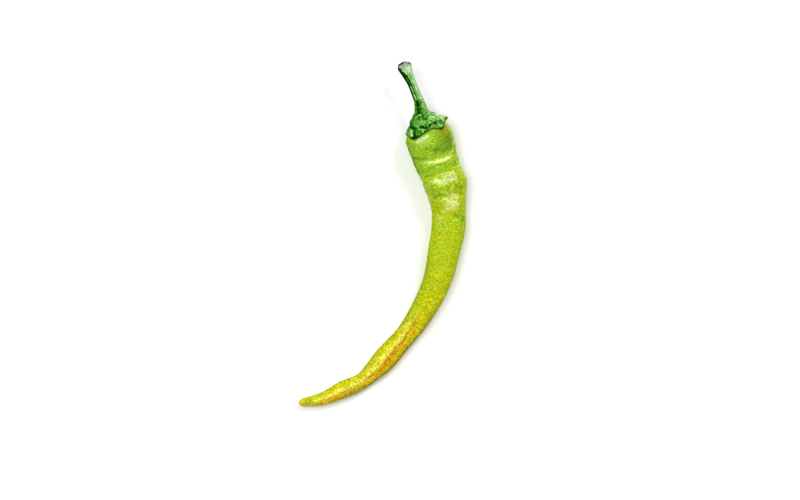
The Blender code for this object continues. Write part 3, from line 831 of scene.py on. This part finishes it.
# How far grain and flecks darken and lighten the skin, and the bloom on its lightest parts
GRAIN_LIGHT, FLECK_LIGHT = (-0.36, 0.26), (0.86, 1.14)
BLOOM, BLOOM_COLOUR = (0.86, 1.26, 0.0, 0.056), (255, 255, 170)
# Its gloss, where the coat is stronger on the painted highlights, and its pores: noise, depth
FRUIT_ROUGHNESS, FRUIT_SPECULAR, FRUIT_COAT = 0.45, 0.0, (0.0, 0.8, 0.015, 0.07)
FRUIT_PORES = [("mottle", 0.25), ("streaks", 0.08), ("speckle", 0.08)]

# The same for the skin of the calyx and the stalk
CALYX_NOISES = {
    "mottle": (0.7, 0.55, 2.0, 0.6),
    "grain": (0.30, 1.8, 3.0, 0.6),
    "speckle": (1.7, 1.1, 2.0, 0.6),
    "net": (0.9, 0.42, 2.0, 0.6),
}
# Its colours from dark to pale, by tone, which holds painted light and shade besides random mottle. The tone
# starts from the mark: factor and plain skin's tone
CALYX_COLOURS = [
    (0, (4, 46, 0)), (0.18, (18, 80, 6)), (0.38, (56, 126, 22)), (0.52, (88, 152, 46)),
    (0.66, (122, 174, 82)), (0.82, (162, 200, 128)), (1, (204, 234, 180)),
]
TONE_FACTOR, PLAIN_TONE = 0.45, 0.5
# What the noises add to the tone. The net is dark where its noise is close to the middle
MOTTLE_TONE, SPECKLE_TONE, FIBRE_TONE = (-0.16, 0.16), (-0.20, 0.20), (-0.32, 0.30)
NET_MIDDLE, NET_TONE = 0.5, (0.0, 0.05, -0.38, 0.08)
# Tints over that: the share or range of each, and its colour. The mint is painted light on a waxy bloom, the
# rim a painted shadow
CALM_SHARE, CALM_COLOUR = 0.7, (70, 138, 28)
LIT_BLOOM_TONES, LIT_BLOOM_COLOUR = (0.45, 0.85), (184, 208, 176)
RIM_SHADOW_SPECKLE, RIM_SHADOW_COLOUR = (0.35, 0.6, 0.4, 1.0), (28, 78, 6)
SCAR_COLOURS = [(0.3, (108, 132, 94)), (0.48, (146, 170, 132)), (0.6, (176, 180, 156))]
EDGE_SPECKLE, EDGE_COLOUR = (0.3, 0.5, 0.7, 1.2), (48, 42, 26)
# Its gloss, by the mottle and the tone, and its pores
CALYX_ROUGHNESS, CALYX_SPECULAR, CALYX_COAT = (0.42, 0.58), 0.02, (0.4, 0.9, 0.0, 0.08)
CALYX_PORES = [("grain", 0.12), ("speckle", 0.08), ("mottle", 0.20)]

# Both have a thin coat for their gloss
COAT_IOR, COAT_ROUGHNESS = 1.8, 0.3


def screen(red, green, blue):
    """A screen's colour, from 0 to 255 a channel, as the share of light that a surface gives back."""
    share = np.array([red, green, blue]) / 255.0
    linear = np.where(share <= 0.04045, share / 12.92, ((share + 0.055) / 1.055) ** 2.4)
    return (*linear.tolist(), 1.0)


class Recipe:
    """A material and the calls that add its nodes. Most calls return the socket that they make."""

    def __init__(self, name):
        self.material = bpy.data.materials.new(name)
        self.material.use_nodes = True
        self.tree = self.material.node_tree

    def feed(self, node, inputs):
        """Links sockets to a node's inputs, or sets the inputs to plain values."""
        for name, value in inputs.items():
            if isinstance(value, bpy.types.NodeSocket):
                self.tree.links.new(value, node.inputs[name])
            else:
                node.inputs[name].default_value = value

    def finish(self, *values):
        """The material, with the values fed to SHADER_INPUTS."""
        self.feed(self.tree.nodes["Principled BSDF"], dict(zip(SHADER_INPUTS, values)))
        return self.material

    def add(self, kind, inputs, output=0, **settings):
        """A node's output, with its inputs fed and its settings made."""
        node = self.tree.nodes.new("ShaderNode" + kind)
        for name, value in settings.items():
            setattr(node, name, value)
        self.feed(node, inputs)
        return node.outputs[output]

    def mark(self, name):
        """The mesh's numbers of that name."""
        return self.add("Attribute", {}, "Vector" if name == "skin_place" else "Fac", attribute_name=name)

    def math(self, operation, first, second=0.0, third=0.0, clamp=False):
        return self.add("Math", {0: first, 1: second, 2: third}, operation=operation, use_clamp=clamp)

    def noises(self, rows):
        """The outputs of a list of noises, by their names."""
        place = self.mark("skin_place")
        made = {}
        for name, (along, round_it, detail, roughness) in rows.items():
            grains = self.add("VectorMath", {0: place, 1: (along, round_it, round_it)}, operation="MULTIPLY")
            inputs = {"Vector": grains, "Scale": 1.0, "Detail": detail, "Roughness": roughness}
            made[name] = self.add("TexNoise", inputs)
        return made

    def range(self, value, low, high, to_low=0.0, to_high=1.0):
        """A value of low to high, spread over to_low to to_high."""
        limits = {"From Min": low, "From Max": high, "To Min": to_low, "To Max": to_high}
        return self.add("MapRange", {"Value": value, **limits})

    def ramp(self, value, stops):
        """The colour that a value has on a list of colours."""
        colour = self.add("ValToRGB", {0: value})
        elements = colour.node.color_ramp.elements
        while len(elements) < len(stops):
            elements.new(0.5)
        for element, (position, tint) in zip(elements, stops):
            element.position = position
            element.color = screen(*tint)
        return colour

    def mix(self, share, low, high):
        """One colour at a share of 0, the other at 1."""
        return self.add("Mix", {0: share, MIX_LOW: low, MIX_HIGH: high}, MIX_RESULT, data_type="RGBA")

    def paint(self, colour, mark, cover, tint):
        """A colour with a tint over it where a mark is, in so far as a cover from 0 to 1 lets it."""
        share = self.math("MULTIPLY", self.mark(mark), cover, clamp=True)
        return self.mix(share, colour, screen(*tint))

    def paint_all(self, colour, tints, noises):
        """The same for a list of tints."""
        for mark, tint, noise, cover in tints:
            colour = self.paint(colour, mark, self.range(noises[noise], *cover), tint)
        return colour

    def scale(self, colour, factor):
        return self.add("VectorMath", {0: colour, "Scale": factor}, operation="SCALE")

    def pores(self, rows, noises):
        """The fine relief that a list of noises gives."""
        below = {}
        for name, depth in rows:
            relief = self.add("Bump", {"Height": noises[name], "Distance": depth * MM, **below})
            below = {"Normal": relief}
        return relief


def fruit_material():
    """Waxy skin, from green at the shoulder to yellow at the tail, with painted highlights and painted
    shade.
    """
    recipe = Recipe("fruit_skin_finish")
    noises = recipe.noises(FRUIT_NOISES)
    mottle = recipe.range(noises["mottle"], *NOISE_RANGE, *RIPE_MOTTLE)
    colour = recipe.ramp(recipe.math("ADD", recipe.mark("ripe"), mottle), RIPE_COLOURS)
    colour = recipe.paint_all(colour, FRUIT_TINTS, noises)
    uneven = recipe.range(noises["blotches"], *GLINT_BLOTCHES)
    for mark, tint, strength in GLINTS:
        glint = recipe.math("MULTIPLY", recipe.mark(mark), uneven)
        share = recipe.range(glint, *GLINT_RANGE, 0.0, strength)
        colour = recipe.mix(share, colour, screen(*tint))
    grain = recipe.range(noises["grain"], *NOISE_RANGE, *GRAIN_LIGHT)
    flecks = recipe.range(noises["flecks"], *NOISE_RANGE, *FLECK_LIGHT)
    light = recipe.math("MULTIPLY_ADD", recipe.mark("grain"), grain, 1.0)
    light = recipe.math("MULTIPLY", light, flecks)
    colour = recipe.mix(recipe.range(light, *BLOOM), recipe.scale(colour, light), screen(*BLOOM_COLOUR))
    colour = recipe.paint_all(colour, CRACK_TINTS, noises)
    coat = recipe.range(recipe.mark("pale_highlight"), *FRUIT_COAT)
    relief = recipe.pores(FRUIT_PORES, noises)
    return recipe.finish(colour, FRUIT_ROUGHNESS, FRUIT_SPECULAR, coat, COAT_IOR, COAT_ROUGHNESS, relief)


def calyx_material():
    """Green calyx and stalk, with painted light on their ribs, lobes and lit sides and painted shade in
    their creases, and the dry scar at the stalk's end.
    """
    recipe = Recipe("calyx_green_finish")
    noises = recipe.noises(CALYX_NOISES)
    speckle = noises["speckle"]
    rough = recipe.math("SUBTRACT", 1.0, recipe.mark("calm"), clamp=True)
    shading_tone = recipe.math("MULTIPLY_ADD", recipe.mark("shading_tone"), TONE_FACTOR, PLAIN_TONE)
    mottle = recipe.range(noises["mottle"], *NOISE_RANGE, *MOTTLE_TONE)
    shading_tone = recipe.math("MULTIPLY_ADD", rough, mottle, shading_tone)
    shading_tone = recipe.math("MULTIPLY_ADD", rough, recipe.range(speckle, *NOISE_RANGE, *SPECKLE_TONE), shading_tone)
    wrinkle = recipe.math("ABSOLUTE", recipe.math("SUBTRACT", noises["net"], NET_MIDDLE))
    wrinkle = recipe.math("MULTIPLY", recipe.range(wrinkle, *NET_TONE), rough)
    unfibred = recipe.math("SUBTRACT", 1.0, recipe.mark("fibre"), clamp=True)
    shading_tone = recipe.math("MULTIPLY_ADD", unfibred, wrinkle, shading_tone)
    fibres = recipe.range(noises["grain"], *NOISE_RANGE, *FIBRE_TONE)
    shading_tone = recipe.math("MULTIPLY_ADD", recipe.mark("fibre"), fibres, shading_tone)
    colour = recipe.ramp(shading_tone, CALYX_COLOURS)
    colour = recipe.paint(colour, "calm", CALM_SHARE, CALM_COLOUR)
    # Painted light on the stalk's waxy bloom
    colour = recipe.paint(colour, "lit_bloom", recipe.range(shading_tone, *LIT_BLOOM_TONES), LIT_BLOOM_COLOUR)
    # A painted shadow along the calyx's rim
    colour = recipe.paint(colour, "rim", recipe.range(speckle, *RIM_SHADOW_SPECKLE), RIM_SHADOW_COLOUR)
    colour = recipe.mix(recipe.mark("scar"), colour, recipe.ramp(speckle, SCAR_COLOURS))
    colour = recipe.paint(colour, "scar_edge", recipe.range(speckle, *EDGE_SPECKLE), EDGE_COLOUR)
    roughness = recipe.range(noises["mottle"], *NOISE_RANGE, *CALYX_ROUGHNESS)
    coat = recipe.range(shading_tone, *CALYX_COAT)
    relief = recipe.pores(CALYX_PORES, noises)
    return recipe.finish(colour, roughness, CALYX_SPECULAR, coat, COAT_IOR, COAT_ROUGHNESS, relief)


# The studio

# The floor's side and height in metres: it is just under the pepper, so that the two don't touch
FLOOR_SIZE, FLOOR_HEIGHT = 6.0, -0.00002
FLOOR_COLOUR = screen(247, 247, 246)
FLOOR_ROUGHNESS = 0.9
WORLD_LIGHT = 0.42
# Soft lights that point at the middle of the floor, in metres and watts: name, place, size, power
LIGHTS = [("top_light", (-0.35, 0.15, 1.50), 1.0, 16.0), ("key_light", (0.45, 0.62, 0.90), 0.35, 5.0)]
# The photograph's width in pixels, and a pixel's in metres at a height over a point of the floor
PHOTO_WIDTH, PIXEL = 800, 0.00054
VIEW_HEIGHT = 0.010
VIEW_CENTRE = (0.0090, -0.0083)
# The camera's lens and sensor in millimetres, and how far it sees in metres
CAMERA_LENS, CAMERA_SENSOR = 200.0, 36.0
CAMERA_REACH = 50.0


def make_floor():
    """A plain pale floor that the pepper lies on."""
    bpy.ops.mesh.primitive_plane_add(size=FLOOR_SIZE, location=(0, 0, FLOOR_HEIGHT))
    floor = bpy.context.object
    floor.name = "pale_floor"
    floor.data.materials.append(Recipe("floor_paper").finish(FLOOR_COLOUR, FLOOR_ROUGHNESS, 0.0))


def make_lights():
    """An even white surround, and the soft lights in it."""
    world = bpy.data.worlds.new("soft_studio")
    world.use_nodes = True
    background = world.node_tree.nodes["Background"]
    background.inputs["Color"].default_value = (1.0, 1.0, 1.0, 1.0)
    background.inputs["Strength"].default_value = WORLD_LIGHT
    bpy.context.scene.world = world
    for name, place, size, power in LIGHTS:
        data = bpy.data.lights.new(name, "AREA")
        data.shape = "DISK"
        data.size = size
        data.energy = power
        light = bpy.data.objects.new(name, data)
        light.location = place
        light.rotation_euler = (-Vector(place)).to_track_quat("-Z", "Y").to_euler()
        light.visible_camera = False
        bpy.context.scene.collection.objects.link(light)


def make_camera():
    """Looks straight down on the pepper, as the photograph does."""
    data = bpy.data.cameras.new("camera")
    data.lens = CAMERA_LENS
    data.sensor_width = CAMERA_SENSOR
    data.clip_end = CAMERA_REACH
    camera = bpy.data.objects.new("camera", data)
    distance = PHOTO_WIDTH * PIXEL * CAMERA_LENS / CAMERA_SENSOR
    camera.location = (*VIEW_CENTRE, VIEW_HEIGHT + distance)
    bpy.context.scene.collection.objects.link(camera)
    bpy.context.scene.camera = camera


fruit = make_fruit()
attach(fruit, "root")
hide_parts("fruit")

calyx_and_stalk = make_calyx_and_stalk()
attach(calyx_and_stalk, "root")
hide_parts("calyx_and_stalk")

make_floor()
make_lights()
make_camera()
bpy.context.scene.view_settings.view_transform = "Standard"
